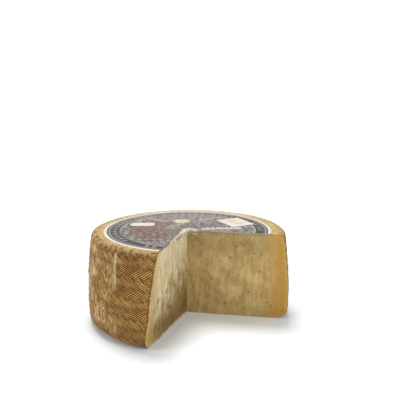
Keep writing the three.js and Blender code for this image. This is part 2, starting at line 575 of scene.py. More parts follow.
def makeEyes():
    # The small openings of the paste, in the same places as in the solid, with uneven walls.
    points, faces, notes = [], [], []
    ballPoints, ballFaces = ballShape(3)
    for cut in (notch["left"], notch["right"]):
        draw = drawFrom(eyes["seed"] + round(cut["phase"] * 1000))
        span = wheel["radius"] - 2 * eyes["margin"]
        rise = wheel["height"] - 2 * eyes["margin"]
        for i in range(eyes["perFace"]):
            distance = eyes["margin"] + span * (i + 0.2 + 0.6 * next(draw)) / eyes["perFace"]
            height = eyes["margin"] + rise * next(draw)
            size = eyes["smallest"] + (eyes["largest"] - eyes["smallest"]) * next(draw) ** 2
            tall = size * (0.7 + 0.8 * next(draw))
            roll = Matrix.Rotation(math.pi * next(draw), 3, "Y")
            centre = cutPoints(cut, np.array(distance), np.array(height))
            into = cutFrame(cut, height)[1]
            turn = Matrix.Rotation(math.atan2(into[1], into[0]) - math.pi / 2, 3, "Z") @ roll
            start = len(points)
            for point in ballPoints:
                uneven = 1 + 0.3 * noise.noise(point * 1.7 + Vector((i * 3.1, size * 9, 0)))
                shaped = Vector((point.x * size, point.y * eyes["depth"], point.z * tall)) * uneven
                points.append(tuple(turn @ shaped + Vector(centre)))
                notes.append((distance + shaped.x, height + shaped.z, cut["side"]))
            faces.extend([tuple(start + k for k in face) for face in ballFaces])
    piece = makeMesh("eyes", points, faces)
    setAttribute(piece.data, "cut", notes)
    return piece


def setAttribute(mesh, name, values):
    # One number or one vector for each point.
    values = np.asarray(values, np.float32)
    vectors = values.ndim > 1
    layer = mesh.attributes.new(name, "FLOAT_VECTOR" if vectors else "FLOAT", "POINT")
    layer.data.foreach_set("vector" if vectors else "value", values.ravel())


def plaitRings():
    # For each ring of points: its length along the outline, its height v in rows, how far its
    # columns have moved sideways in strands, and 1 where the strands of its row rise to the right.
    vPerLength = rowSpan / rowHeight
    rings = []
    for length in np.linspace(0, firstRow, 6)[:-1]:
        rings.append((length, firstV + (length - firstRow) * vPerLength, 0, 1))
    for row in range(plait["rows"]):
        rises = row % 2 == 0
        for t in np.arange(plait["stepsPerRow"]) / plait["stepsPerRow"]:
            slant = rowSpan * (t if rises else 1 - t)
            rings.append((firstRow + (row + t) * rowHeight, firstV + (row + t) * rowSpan, slant, rises))
    lastSlant = rowSpan * (plait["rows"] % 2)
    for length in np.linspace(lastRow, fullLength, 8):
        rings.append((length, lastV + (length - lastRow) * vPerLength, lastSlant, 1))
    return np.array(rings, float)


def shellPoints(rings, columns):
    # The points of the rind, with u, v and wear of each, and the raised line of the seam.
    lengths, v, slant, rises = [rings[:, k:k + 1] for k in range(4)]
    u = np.arange(columns) / columns * plait["strands"] + slant
    radius = np.interp(lengths, outlineLength, outline[:, 0])
    height = np.interp(lengths, outlineLength, outline[:, 1])
    slope = np.gradient(outline, outlineLength, axis=0)
    outR = np.interp(lengths, outlineLength, slope[:, 1])
    outZ = np.interp(lengths, outlineLength, -slope[:, 0])
    angle = startTurn + u / plait["strands"] * tau
    turned = -np.mod(-np.degrees(angle), 360)       # 0 to -360, the notch lies at -12 to -110
    x, y = radius * np.cos(angle), radius * np.sin(angle)

    def noiseHere(size, seed, octaves=2, squash=1.0):
        return noiseAt(x, y, height * squash, size, seed, octaves)

    onSide = smoothStep(lengths, 4, 16) * (1 - smoothStep(lengths, fullLength - 16, fullLength - 4))
    sideways = plait["warp"] * noiseHere(26, 5) * onSide
    upward = plait["warp"] * noiseHere(30, 6) * onSide
    wear = wearAt(turned, height, noiseHere(15, 3, 3))
    seam = seamMask(turned, height + upward)
    relief = plaitRelief(u, v, rises > 0.5, wear)
    relief += plait["fibre"] * noiseHere(3.4, 14, 2, 0.2) * wear * onSide
    relief += plait["lumps"] * noiseHere(34, 8) * smoothStep(lengths, 0, 6)
    relief += shoulderRelief(u, v, lengths) + plait["seamRise"] * seam
    turn = angle + sideways / wheel["radius"]
    reach = radius + relief * outR
    level = np.clip(height + upward + relief * outZ, 0, wheel["height"] + 0.25)
    level = np.where(lengths <= 0, 0, level)
    points = pointsAt(reach * np.cos(turn), reach * np.sin(turn), level)
    return points.reshape(-1, 3), pointsAt(u, v, wear).reshape(-1, 3), seam.ravel()


def joinRings(fine, fineCount, coarse, coarseCount, upwards):
    # The faces between a ring of points and a coarser one inside it.
    faces = []
    ratio = fineCount // coarseCount
    for k in range(coarseCount):
        c, d = coarse + k, coarse + (k + 1) % coarseCount
        for n in range(ratio):
            a = fine + k * ratio + n
            b = fine + (k * ratio + n + 1) % fineCount
            near = c if n < ratio / 2 else d
            faces.append((a, b, near) if upwards else (b, a, near))
        half = fine + k * ratio + math.ceil(ratio / 2)
        faces.append((half, d, c) if upwards else (half, c, d))
    return faces


def makeWheelShell():
    # The whole wheel before the notch: the rind, and coarser rings over the flat top and base.
    # A cap has an outermost ring, a height, and the radius, count and v of each ring inside it.
    columns = plait["strands"] * plait["lines"] * plait["columnsPerLine"]
    rings = plaitRings()
    points, coordinates, seams = [[values] for values in shellPoints(rings, columns)]
    faces = gridFaces(len(rings), columns)
    total = len(rings) * columns
    coarse, coarsest = columns // 4, columns // 12
    caps = (
        (total - columns, True, wheel["height"],
         ((outline[-1, 0] - 5.5, coarse, lastV + 1.9), (40, coarsest, lastV + 6))),
        (0, False, 0.0, ((outline[0, 0] - 6, coarse, -1.0), (40, coarsest, -6.0))),
    )
    for outer, upwards, height, innerRings in caps:
        outerCount = columns
        for radius, count, v in innerRings:
            u = np.arange(count) / count * plait["strands"]
            turn = startTurn + (u + rings[-1, 2] * upwards) / plait["strands"] * tau
            points.append(pointsAt(radius * np.cos(turn), radius * np.sin(turn), height))
            coordinates.append(pointsAt(u, v, 0.3))
            seams.append(np.zeros(count))
            faces += joinRings(outer, outerCount, total, count, upwards)
            outer, outerCount = total, count
            total += count
        lid = range(outer, total)
        faces.append(tuple(lid if upwards else reversed(lid)))
    shell = makeMesh("cheeseWheel", np.concatenate(points), faces)
    setAttribute(shell.data, "plait", np.concatenate(coordinates))
    setAttribute(shell.data, "seam", np.concatenate(seams))
    return shell


def markSharp(mesh, angle):
    # Smooth all over but for the edge of the cuts and the sharp folds in them.
    work = bmesh.new()
    work.from_mesh(mesh)
    for face in work.faces:
        face.smooth = True
    for edge in work.edges:
        if len(edge.link_faces) == 2:
            first, second = edge.link_faces
            differs = first.material_index != second.material_index
            folded = first.material_index == 1 and edge.calc_face_angle(0) > angle
            edge.smooth = not (differs or folded)
    work.to_mesh(mesh)
    work.free()


def skinDistance(mesh):
    # How deep each point lies under the surface of the whole wheel.
    place = np.empty(len(mesh.vertices) * 3, np.float32)
    mesh.vertices.foreach_get("co", place)
    place = place.reshape(-1, 3) / mm
    radius, height = np.hypot(place[:, 0], place[:, 1] - wheel["axisY"]), place[:, 2]
    best = np.minimum(np.abs(height), np.abs(wheel["height"] - height))
    for r, z in outline:
        best = np.minimum(best, np.hypot(radius - r, height - z))
    return best


def setMaterials(piece, materials, index):
    for material in materials:
        piece.data.materials.append(material)
    piece.data.polygons.foreach_set("material_index", np.full(len(piece.data.polygons), index, np.int32))


def makeCheese(materials):
    shell = makeWheelShell()
    cutter = makeCutter("cutter", notch["along"], notch["up"])
    pits = makeEyes()
    for piece, index, pit in ((shell, 0, 0), (cutter, 1, 0), (pits, 1, 1)):
        setMaterials(piece, materials, index)
        count = len(piece.data.vertices)
        setAttribute(piece.data, "pit", np.full(count, pit))
        if piece is shell:
            setAttribute(piece.data, "cut", np.zeros((count, 3)))
        else:
            setAttribute(piece.data, "plait", np.zeros((count, 3)))
            setAttribute(piece.data, "seam", np.zeros(count))
    applyBoolean(cutter, pits, "UNION")
    applyBoolean(shell, cutter, "DIFFERENCE")
    mesh = shell.data
    setAttribute(mesh, "skin", skinDistance(mesh))
    markSharp(mesh, math.radians(notch["fold"]))
    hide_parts("cheese")
    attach(shell, "root")
    print("cheese made:", len(mesh.vertices), "points,", len(mesh.polygons), "faces")


# Crumbs and torn flakes of paste, along the top edge of the left cut and where the two cuts meet

crumbs = {
    "count": 860,
    "smallest": 0.32,
    "largest": 1.25,
    "reach": 54,            # how far out from the apex they lie
    "flat": 0.62,
    "seed": 23,
    # the share of them at the outer edge, then with those at the foot, then with all on the left
    "atEdge": 0.14,
    "atFoot": 0.22,
    "onLeft": 0.76,
    "onTop": 0.7,           # how many of the others lie on the top face
    "pale": colour(228, 216, 198),
    "deep": colour(176, 152, 112),
    "mottleSize": 190.0,
}


def outerDistance(cut, height):
    # How far from the apex the cut meets the rind.
    along = cutFrame(cut, height)[0]
    apex = apexAt(np.array(height))
    toward = float(apex @ along)
    radius = float(np.interp(height, outline[:, 1], outline[:, 0]))
    return math.sqrt(toward ** 2 - float(apex @ apex) + radius ** 2) - toward


def crumbPlace(draw, size):
    # The cut, the distance from the apex, the height, and how far in behind the cut's face.
    # Most lie on the top edge of the left cut, and some cling to its outer edge and its foot.
    top = wheel["height"]
    kind = next(draw)
    onLeft = kind < crumbs["onLeft"]
    cut = notch["left" if onLeft else "right"]
    reach = crumbs["reach"] * (1 if onLeft else 0.24 if kind < 0.9 else 1.1)
    if kind < crumbs["atEdge"]:
        height = 6 + (top - 14) * next(draw)
        return cut, outerDistance(cut, height) - 0.4 - 2.5 * next(draw), height, 0.12
    if kind < crumbs["atFoot"]:
        return cut, 6 + 78 * next(draw), 0.5 * size + 1.2 * next(draw) ** 2, 0.12
    distance = reach * next(draw) ** 1.7
    if next(draw) < crumbs["onTop"]:
        inward = 0.1 + (4.2 * next(draw) ** 1.6) * (1 - distance / crumbs["reach"])
        return cut, distance, top + 0.34 + 0.15 * size, inward
    return cut, distance, top - 0.3 - 5.0 * next(draw) ** 1.6, -0.1


def makeCrumbs(material):
    draw = drawFrom(crumbs["seed"])
    ballPoints, ballFaces = ballShape(2)
    points, faces = [], []
    top = wheel["height"]
    for i in range(crumbs["count"]):
        size = crumbs["smallest"] + (crumbs["largest"] - crumbs["smallest"]) * next(draw) ** 3
        cut, distance, height, inward = crumbPlace(draw, size)
        # Smaller away from the apex, lower down and out along the right cut.
        size *= 1.2 - 0.6 * min(1, distance / crumbs["reach"]) if height > top - 8 else 0.45
        size *= 1.0 if cut is notch["left"] or distance < 13 else 0.62
        centre = cutPoints(cut, np.array(distance), np.array(min(height, top)), inward)
        centre[2] = height
        stretch = [0.75 + 0.7 * next(draw) for _ in range(3)]
        roll = Matrix.Rotation(tau * next(draw), 3, "Z")
        start = len(points)
        for point in ballPoints:
            uneven = 1 + 0.5 * noise.noise(point * 1.3 + Vector((i * 2.7, size * 5, 1)))
            shaped = Vector([c * size * s * uneven for c, s in zip(point, stretch)])
            shaped.z *= crumbs["flat"]
            points.append(tuple(roll @ shaped + Vector(centre)))
        faces.extend([tuple(start + k for k in face) for face in ballFaces])
    piece = makeMesh("topCrumbs", points, faces)
    piece.data.materials.append(material)
    piece.data.shade_smooth()
    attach(piece, "root")
    print("crumbs made:", crumbs["count"])


# The paper on top, in millimetres: the round label and its two stickers

paper = {
    "lift": 0.03,           # over the cheese
    "thick": 0.27,
    "wave": 0.16,
    "label": {"radius": 84.9, "x": -0.9, "y": -3.8, "rings": 44, "sectors": 264},
    "labelGap": 0.3,        # how far the label stays back from the cuts
    "cutterSteps": (60, 6),
    "squareSticker": {"width": 27, "length": 35, "corner": 1.2, "x": 49.3, "y": 25.7, "turn": 28,
                      "rings": 10},
    "stripSticker": {"width": 25.8, "length": 13.4, "corner": 4.6, "x": -48.4, "y": 16, "turn": 1,
                     "rings": 8},
    "stickerThick": 0.2,
    "stickerSink": 0.03,    # how far a sticker's underside lies in the label
    "roundedEdge": 0.05,
    "pointGap": 1.6,        # between points along a sticker's edge
}


def labelTop(x, y):
    waves = noiseAt(x, y, 0.0, 17, 51, 2)
    return wheel["height"] + paper["lift"] + paper["thick"] + paper["wave"] * (0.5 + 0.5 * waves)


def roundedOutline(width, length, corner):
    # A rectangle with round corners, as points in order round it.
    points = []
    steps = 8
    for quarter in range(4):
        sideX = 1 if quarter in (0, 3) else -1
        sideY = 1 if quarter < 2 else -1
        centre = (sideX * (width / 2 - corner), sideY * (length / 2 - corner))
        for k in range(steps + 1):
            turn = math.radians(90 * quarter + 90 * k / steps)
            points.append((centre[0] + corner * math.cos(turn), centre[1] + corner * math.sin(turn)))
    full = []
    for point, after in zip(points, points[1:] + points[:1]):
        start, step = np.array(point), np.array(after) - np.array(point)
        parts = max(1, round(math.dist(point, after) / paper["pointGap"]))
        full += [start + step * n / parts for n in range(parts)]
    return np.array(full)


def makeSheet(name, edge, rings, place, turn, topAt, bottomAt):
    # A thin sheet with the given outline: rings of points from its middle to its edge.
    count = len(edge)
    middle = np.zeros((1, 2))
    growing = [edge * share for share in np.linspace(0, 1, rings + 1)[1:]]
    flat = np.concatenate([middle, *growing, edge * 0.999, middle])
    cosine, sine = math.cos(turn), math.sin(turn)
    x = place[0] + flat[:, 0] * cosine - flat[:, 1] * sine
    y = place[1] + flat[:, 0] * sine + flat[:, 1] * cosine
    z = topAt(x, y)
    last = len(flat) - 1
    bottom = last - count
    z[bottom - count:bottom] -= paper["roundedEdge"]
    z[bottom:] = bottomAt(x[bottom:], y[bottom:])
    faces = [(0, 1 + k, 1 + (k + 1) % count) for k in range(count)]
    faces += [face[::-1] for face in gridFaces(rings + 1, count, 1)]
    faces += [(last, bottom + (k + 1) % count, bottom + k) for k in range(count)]
    piece = makeMesh(name, pointsAt(x, y, z), faces)
    setAttribute(piece.data, "print", pointsAt(flat[:, 0], flat[:, 1], 0.0))
    return piece


def makeLabel(materials):
    values = paper["label"]
    turn = np.arange(values["sectors"]) / values["sectors"] * tau
    edge = values["radius"] * pointsAt(np.cos(turn), np.sin(turn))
    floorLevel = wheel["height"] + paper["lift"]
    piece = makeSheet("topLabel", edge, values["rings"], (values["x"], values["y"]), 0.0, labelTop,
                      lambda x, y: np.full(x.shape, floorLevel))
    cutter = makeCutter("labelCutter", *paper["cutterSteps"], paper["labelGap"], False)
    setMaterials(piece, materials, 0)
    setMaterials(cutter, materials, 1)
    setAttribute(cutter.data, "print", np.zeros((len(cutter.data.vertices), 3)))
    applyBoolean(piece, cutter, "DIFFERENCE")
    for face in piece.data.polygons:
        face.use_smooth = face.material_index == 0
    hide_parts("label")
    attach(piece, "root")
    print("label made:", len(piece.data.polygons), "faces")


def makeSticker(name, key, node, material):
    values = paper[key]
    edge = roundedOutline(values["width"], values["length"], values["corner"])
    place = (values["x"], values["y"])
    piece = makeSheet(name, edge, values["rings"], place, math.radians(values["turn"]),
                      lambda x, y: labelTop(x, y) + paper["stickerThick"],
                      lambda x, y: labelTop(x, y) - paper["stickerSink"])
    piece.data.materials.append(material)
    piece.data.shade_smooth()
    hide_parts(node)
    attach(piece, "root")
    print(name, "made")


# Node groups that several materials share


def makeStrandGroup():
    # The plait of strandAt as masks: u and v are its strand and row coordinates.
    group, given, made = newGroup("strandPattern", ["U", "V", "Lines", "Fray"],
                                  ["Line", "Gap", "End", "Chance", "Straw", "Rising"])
    u, v = given["U"], given["V"]
    p, q = u + v, v - u
    i, j = calc("FLOOR", p), calc("FLOOR", q)
    floats = plait["floats"]
    # A thousandth and a hundredth keep whole numbers from falling under themselves.
    m = calc("FLOORED_MODULO", i + j + 0.001, 2 * floats)
    rising = calc("LESS_THAN", m, floats - 0.5)
    falling = 1 - rising
    step = calc("FLOOR", calc("FLOORED_MODULO", m, floats) + 0.01)
    partP, partQ = p - i, q - j
    along = rising * partP + falling * partQ + step
    across = rising * partQ + falling * partP
    cellI, cellJ = i - rising * step, j - falling * step
    chance = chanceOf(joinXyz(cellI, cellJ, 0.5), "3D")
    fray = noiseOf(joinXyz(u, v, chance), 2.3, 2)
    inLines = (across + (fray - 0.5) * given["Fray"]) * given["Lines"]
    wave = calc("COSINE", inLines * tau + math.pi)
    feed(made, {
        "Line": remap(wave, -1, 1, 0, 1),
        "Gap": smoothMask(abs(across - 0.5), 0.4, 0.5),
        "End": 1 - smoothMask(calc("MINIMUM", along, floats - along), 0.0, 0.8),
        "Chance": chance,
        "Straw": chanceOf(joinXyz(cellI, cellJ, calc("FLOOR", inLines)), "3D"),
        "Rising": rising,
    })
    return group


def makeMottleGroup():
    # Broad and fine patches of tone, and small dark specks, for any of the cheese's surfaces.
    group, given, made = newGroup("mottle", ["Vector", "Size"], ["Broad", "Fine", "Specks"])
    node = group.nodes.new("ShaderNodeVectorMath")
    node.operation = "SCALE"
    place = fed(node, {0: given["Vector"], "Scale": given["Size"]})
    speck = 1 - smoothMask(cellDistance(place, 5.5), 0.05, 0.17)
    keep = smoothMask(noiseOf(place, 2.2, 2), 0.52, 0.66)
    feed(made, {
        "Broad": noiseOf(place, 1.0, 3, 0.6, 0.4),
        "Fine": noiseOf(place, 7.0, 4, 0.65),
        "Specks": speck * keep,
    })
    return group


def makePaperGroup():
    # Handled paper: soft smudges and fine creases, for the label and the stickers.
    group, given, made = newGroup("handledPaper", ["Vector", "Smudge"], ["Shade", "Height"])
    place = given["Vector"]
    broad = noiseOf(place, 45, 3, 0.6, 0.3)
    fine = noiseOf(place, 900, 2, 0.6)
    crease = noiseOf(place, 160, 3, 0.55, 1.2)
    feed(made, {
        "Shade": 1.0 + ((broad - 0.5) * given["Smudge"] + (fine - 0.5) * 0.1),
        "Height": smoothMask(abs(crease - 0.5), 0.0, 0.05) + fine,
    })
    return group


# Rind

rindLook = {
    "straw": colour(178, 116, 38),
    "paleStraw": colour(250, 196, 106),
    "groove": colour(42, 15, 0),
    # painted shade in the gaps between strands and at their dived ends, also the tone of the dashes
    # under the shoulder
    "dip": colour(66, 34, 6),
    "worn": colour(212, 178, 116),
    "wornDark": colour(66, 42, 12),
    "shoulder": colour(218, 188, 130),
    # painted sheen on the far side of the shoulder
    "farRimSheen": colour(222, 210, 182),
    "oliveRim": colour(178, 166, 106),
    "crease": colour(104, 72, 30),
    "foot": colour(116, 78, 30),
    "seam": colour(244, 226, 180),
    "mould": colour(118, 120, 122),
    "speck": colour(70, 46, 18),
    "lineStrength": 1.2,
    "gapShadeStrength": 0.5,
    "roughness": 0.62,
    "lineBump": 0.00045,
    "fray": 0.1,            # how far the edges of the straws waver
    "mottleSize": 38.0,
    "grainScale": 1400,
}


def strawTone(strand, u, v, unworn):
    # Straws of uneven tone, darker along the fine lines between them, with painted shade in the gaps
    # between strands and at the ends where they dive under the next row.
    look = rindLook
    chance, rising = strand["Chance"], strand["Rising"]
    soft = smoothMask(noiseOf(joinXyz(u * 1.5, v, 0.0), 1.7, 3), 0.35, 0.65)
    tone = mixColour(chance * 0.62 + soft * 0.45 - rising * 0.14, look["straw"], look["paleStraw"])
    tone = tinted(tone, remap(strand["Straw"], 0, 1, 0.86, 1.08))
    patchy = remap(smoothMask(noiseOf(joinXyz(u, v, 0.0), 0.5, 2), 0.3, 0.55), 0, 1, 0.62, 1.0)
    lineDark = fadeMask(strand["Line"], 0.3, 0.78) * patchy * unworn
    lineDark = lineDark * remap(rising, 0, 1, 0.88, 1.0) * look["lineStrength"]
    tone = mixColour(lineDark, tone, look["groove"])
    # Painted shade in the gaps between strands and at the ends where they dive under the next row.
    ends = strand["End"] * remap(chance, 0.1, 0.8, 0.15, 1.0)
    gap = calc("MAXIMUM", strand["Gap"] * 0.7, ends)
    return mixColour(gap * unworn * look["gapShadeStrength"], tone, look["dip"])


def rimTone(u, v, x, y):
    # The shoulder: creased next to the print, more olive on the right, and paler at the back with
    # painted sheen.
    look = rindLook
    creases = smoothMask(noiseOf(joinXyz(u * 2.4, v * 0.7, 0.0), 1.0, 4, 0.6), 0.42, 0.6)
    nearPrint = fadeMask(v, lastV + 0.15, lastV + 0.8)
    tone = mixColour(creases * remap(nearPrint, 0, 1, 0.6, 0.9), look["shoulder"], look["crease"])
    tone = mixColour(smoothMask(x, 0.03, 0.08) * 0.5, tone, look["oliveRim"])
    # Painted sheen: the shoulder paler at the back.
    return mixColour(smoothMask(y, 0.03, 0.09) * 0.6, tone, look["farRimSheen"])


def makeRindMaterial(strandGroup, mottleGroup):
    look = rindLook
    material, tree, shader = newMaterial("plaitedRind")
    u, v, wear = splitXyz(attributeOf(tree, "plait", "Vector"))
    place = objectPlace(tree)
    x, y, z = splitXyz(place)
    mottle = useGroup(mottleGroup, Vector=place, Size=look["mottleSize"])
    strand = useGroup(strandGroup, U=u, V=v, Lines=float(plait["lines"]), Fray=look["fray"])
    rubbed = smoothMask(wear, 0.36, 0.95)
    unworn = 1 - rubbed * 0.5
    tone = strawTone(strand, u, v, unworn)
    tone = mixColour(smoothMask(mottle["Broad"], 0.4, 0.7) * 0.35, tone, look["foot"])

    # Rubbed places are paler, with upright fibres.
    fibres = noiseOf(joinXyz(u * 3.6, v * 0.5, 0.0), 1.0, 3, 0.66, 1.0)
    fibreTone = mixColour(smoothMask(fibres, 0.44, 0.55), look["wornDark"], look["worn"])
    tone = mixColour(rubbed * 0.66, tone, fibreTone)
    tone = mixColour(smoothMask(fibres, 0.6, 0.68) * rubbed * 0.6, tone, look["seam"])

    # The foot is browner, and under the shoulder the print runs out in short dashes.
    tone = mixColour(fadeMask(z, 0.004, 0.022) * 0.55, tone, look["foot"])
    tone = mixColour(smoothMask(v, lastV - 1.5, lastV - 0.2) * 0.56, tone, look["shoulder"])
    underRim = smoothMask(v, lastV - 1.4, lastV - 1.0) * fadeMask(v, lastV - 0.35, lastV + 0.1)
    dashes = smoothMask(noiseOf(joinXyz(u * 2.4, v, 0.0), 1.0, 2, 0.5), 0.5, 0.57)
    leftHalf = fadeMask(x, 0.0, 0.06)
    tone = mixColour(dashes * underRim * remap(leftHalf, 0, 1, 0.25, 0.62), tone, look["dip"])
    onShoulder = smoothMask(v, lastV - 0.1, lastV + 0.25)
    tone = mixColour(onShoulder * 0.9, tone, rimTone(u, v, x, y))
    tone = mixColour(attributeOf(tree, "seam", "Fac") * 0.95, tone, look["seam"])
    tone = tinted(tone, remap(mottle["Fine"], 0.25, 0.75, 0.84, 1.14))
    low = fadeMask(z, 0.012, 0.044)
    tone = mixColour(mottle["Specks"] * low * 0.85, tone, look["mould"])
    tone = mixColour(mottle["Specks"] * (1 - low) * 0.5, tone, look["speck"])

    grain = noiseOf(place, look["grainScale"], 3, 0.6)
    height = strand["Line"] * unworn * (1 - onShoulder) + grain * 0.5 + fibres * rubbed
    rough = look["roughness"]
    feed(shader, {
        "Base Color": tone,
        "Normal": bumpOf(height, look["lineBump"], 0.9),
        "Roughness": remap(mottle["Broad"], 0.3, 0.7, rough - 0.1, rough + 0.12),
        "Specular IOR Level": 0.3,
    })
    return material


# Paste

pasteLook = {
    "left": colour(180, 150, 92),
    "leftPale": colour(230, 216, 180),
    "leftBrown": colour(120, 80, 30),
    "leftOlive": colour(140, 116, 54),
    "leftFootShadow": colour(92, 62, 20),
    # painted highlight along the left cut's edge at the rind
    "leftEdgeHighlight": colour(212, 172, 98),
    "leftBand": colour(192, 158, 82),
    "right": colour(166, 135, 72),
    "rightPale": colour(212, 184, 124),
    "nearRind": colour(198, 160, 90),
    "nearRindRight": colour(184, 134, 42),
    "yellowEnd": colour(196, 166, 70),
    "rindLine": colour(150, 108, 46),
    # painted shadow of the label's edge along the top of the right cut
    "underLabel": colour(84, 58, 28),
    "pit": colour(166, 134, 84),
    "roughness": 0.55,
    "bump": 0.0003,
    "mottleSize": 60.0,
    "grainScale": 900,
    "poreScale": 520,
}


def leftCutTone(distance, height, streaks, clouds, patches):
    # Pale above; browner towards the foot and the apex, which is painted shade of the notch over real
    # brown patches; and a painted contact shadow at the foot.
    look = pasteLook
    pale = smoothMask(streaks, 0.32, 0.6) * remap(clouds, 0.35, 0.65, 0.66, 1.0)
    tone = mixColour(pale, look["left"], look["leftPale"])
    low, inner = remap(height, 0, 90, 1.0, 0.0), remap(distance, 0, 95, 1.0, 0.0)
    # Painted shade of the notch: browner low down and towards the apex, broken up by real brown patches.
    brown = smoothMask(low + inner * 0.34 + (patches - 0.5), 0.42, 1.06)
    brownTone = mixColour(smoothMask(streaks, 0.4, 0.6), look["leftBrown"], look["leftOlive"])
    tone = mixColour(brown * 0.94, tone, brownTone)
    # Painted contact shadow along the foot of the left cut.
    return mixColour(fadeMask(height, 3, 24) * 0.5, tone, look["leftFootShadow"])


def rightCutTone(streaks, clouds, patches):
    pale = smoothMask(streaks, 0.36, 0.66) * 0.4 + smoothMask(patches, 0.38, 0.62) * 0.28
    pale = pale + smoothMask(clouds, 0.4, 0.62) * 0.3
    return mixColour(pale, pasteLook["right"], pasteLook["rightPale"])


def withDryZone(tone, distance, skin, clouds, onRight, atSide):
    # The paste dries under the rind, deeper at the far end of the right cut, and a painted highlight
    # runs along the left cut's edge at the rind. skin is the depth.
    look = pasteLook
    leftSide, rightSide = (1 - onRight) * atSide, onRight * atSide
    farEnd = onRight * smoothMask(distance + (clouds - 0.5) * 34, 70, 98)
    dryTone = mixColour(farEnd, look["nearRind"], look["nearRindRight"])
    drying = fadeMask(skin, 1.0, 11.0) * remap(atSide, 0, 1, 0.2, 0.85)
    tone = mixColour(calc("MAXIMUM", drying, farEnd * 0.85), tone, dryTone)
    tone = mixColour(rightSide * fadeMask(skin, 1.0, 4.0) * 0.5, tone, look["yellowEnd"])
    tone = mixColour(onRight * fadeMask(skin, 0.3, 1.4) * 0.22, tone, look["rindLine"])
    tone = mixColour(leftSide * fadeMask(skin, 7, 17) * 0.58, tone, look["leftBand"])
    # Painted highlight: a pale line along the left cut's edge at the rind.
    return mixColour(leftSide * fadeMask(skin, 1.2, 3.2) * 0.75, tone, look["leftEdgeHighlight"])


def withTopAndFoot(tone, height, distance, fine, patches, onRight, atSide):
    # Painted shade darkens the right cut near the top, with a painted shadow of the label's edge along
    # its top; the left one is paler near the top, painted light with its whitish bloom; and crumbly
    # edges.
    look = pasteLook
    top = wheel["height"]
    onLeft, inRight = 1 - onRight, onRight * (1 - atSide)
    # Painted shade: the right cut darker towards its top.
    tone = tinted(tone, remap(smoothMask(height, 48, 84) * inRight, 0, 1, 1.0, 0.74))
    # Painted shadow of the label's edge, a thin dark line along the top of the right cut.
    tone = mixColour(smoothMask(height, top - 3.2, top - 0.8) * inRight * 0.22, tone, look["underLabel"])
    # Painted light with the whitish bloom: the left cut paler towards its top.
    tone = mixColour(smoothMask(height, 52, 86) * onLeft * 0.26, tone, look["leftPale"])
    crumbly = smoothMask(height, top - 9, top - 1) * fadeMask(distance, 26, 62) * onLeft
    tone = mixColour(crumbly * smoothMask(fine, 0.36, 0.56) * 0.85, tone, crumbs["pale"])
    footEdge = fadeMask(height, 1.2, 2.8) * onLeft
    return mixColour(footEdge * smoothMask(patches, 0.36, 0.56) * 0.75, tone, crumbs["pale"])


def makePasteMaterial(mottleGroup):
    look = pasteLook
    material, tree, shader = newMaterial("cheesePaste")
    place = objectPlace(tree)
    distance, height, side = splitXyz(attributeOf(tree, "cut", "Vector"))
    mottle = useGroup(mottleGroup, Vector=place, Size=look["mottleSize"])
    onRight, atSide = smoothMask(side, -0.3, 0.3), smoothMask(distance, 70, 94)
    streaks = noiseOf(joinXyz(distance - height * 0.06, height * 0.22, side), 0.24, 5, 0.66, 0.6)
    clouds = noiseOf(joinXyz(distance, height, side), 0.05, 4, 0.6, 0.7)
    patches = noiseOf(joinXyz(distance, height * 0.7, side), 0.13, 4, 0.62, 0.5)
    left = leftCutTone(distance, height, streaks, clouds, patches)
    tone = mixColour(onRight, left, rightCutTone(streaks, clouds, patches))
    tone = withDryZone(tone, distance, attributeOf(tree, "skin", "Fac"), clouds, onRight, atSide)
    tone = withTopAndFoot(tone, height, distance, mottle["Fine"], patches, onRight, atSide)
    # Darker inside the eyes: their own darker walls, with painted shade of the hollows.
    tone = mixColour(attributeOf(tree, "pit", "Fac") * 0.3, tone, look["pit"])
    tone = mixColour(mottle["Specks"] * 0.3, tone, look["leftBrown"])
    tone = tinted(tone, remap(mottle["Fine"], 0.25, 0.75, 0.92, 1.06))

    grain = noiseOf(place, look["grainScale"], 4, 0.65)
    pores = smoothMask(cellDistance(place, look["poreScale"]), 0.1, 0.32)
    rough = look["roughness"]
    feed(shader, {
        "Base Color": tone,
        "Normal": bumpOf(streaks * 1.2 + grain * 0.5 + pores * 0.35, look["bump"], 0.6),
        "Roughness": remap(mottle["Fine"], 0.3, 0.7, rough - 0.08, rough + 0.12),
        "Specular IOR Level": 0.4,
        "Subsurface Weight": 0.1,
        "Subsurface Radius": (0.004, 0.0025, 0.0012),
        "Subsurface Scale": 1.0,
    })
    return material


def makeCrumbMaterial(mottleGroup):
    material, tree, shader = newMaterial("cheeseCrumb")
    mottle = useGroup(mottleGroup, Vector=objectPlace(tree), Size=crumbs["mottleSize"])
    tone = mixColour(smoothMask(mottle["Broad"], 0.36, 0.56), crumbs["deep"], crumbs["pale"])
    tone = tinted(tone, remap(mottle["Fine"], 0.25, 0.75, 0.9, 1.05))
    feed(shader, {"Base Color": tone, "Roughness": 0.7, "Specular IOR Level": 0.3})
    return material


# Paper: a generic print of rings, beads and engraved strokes for the label

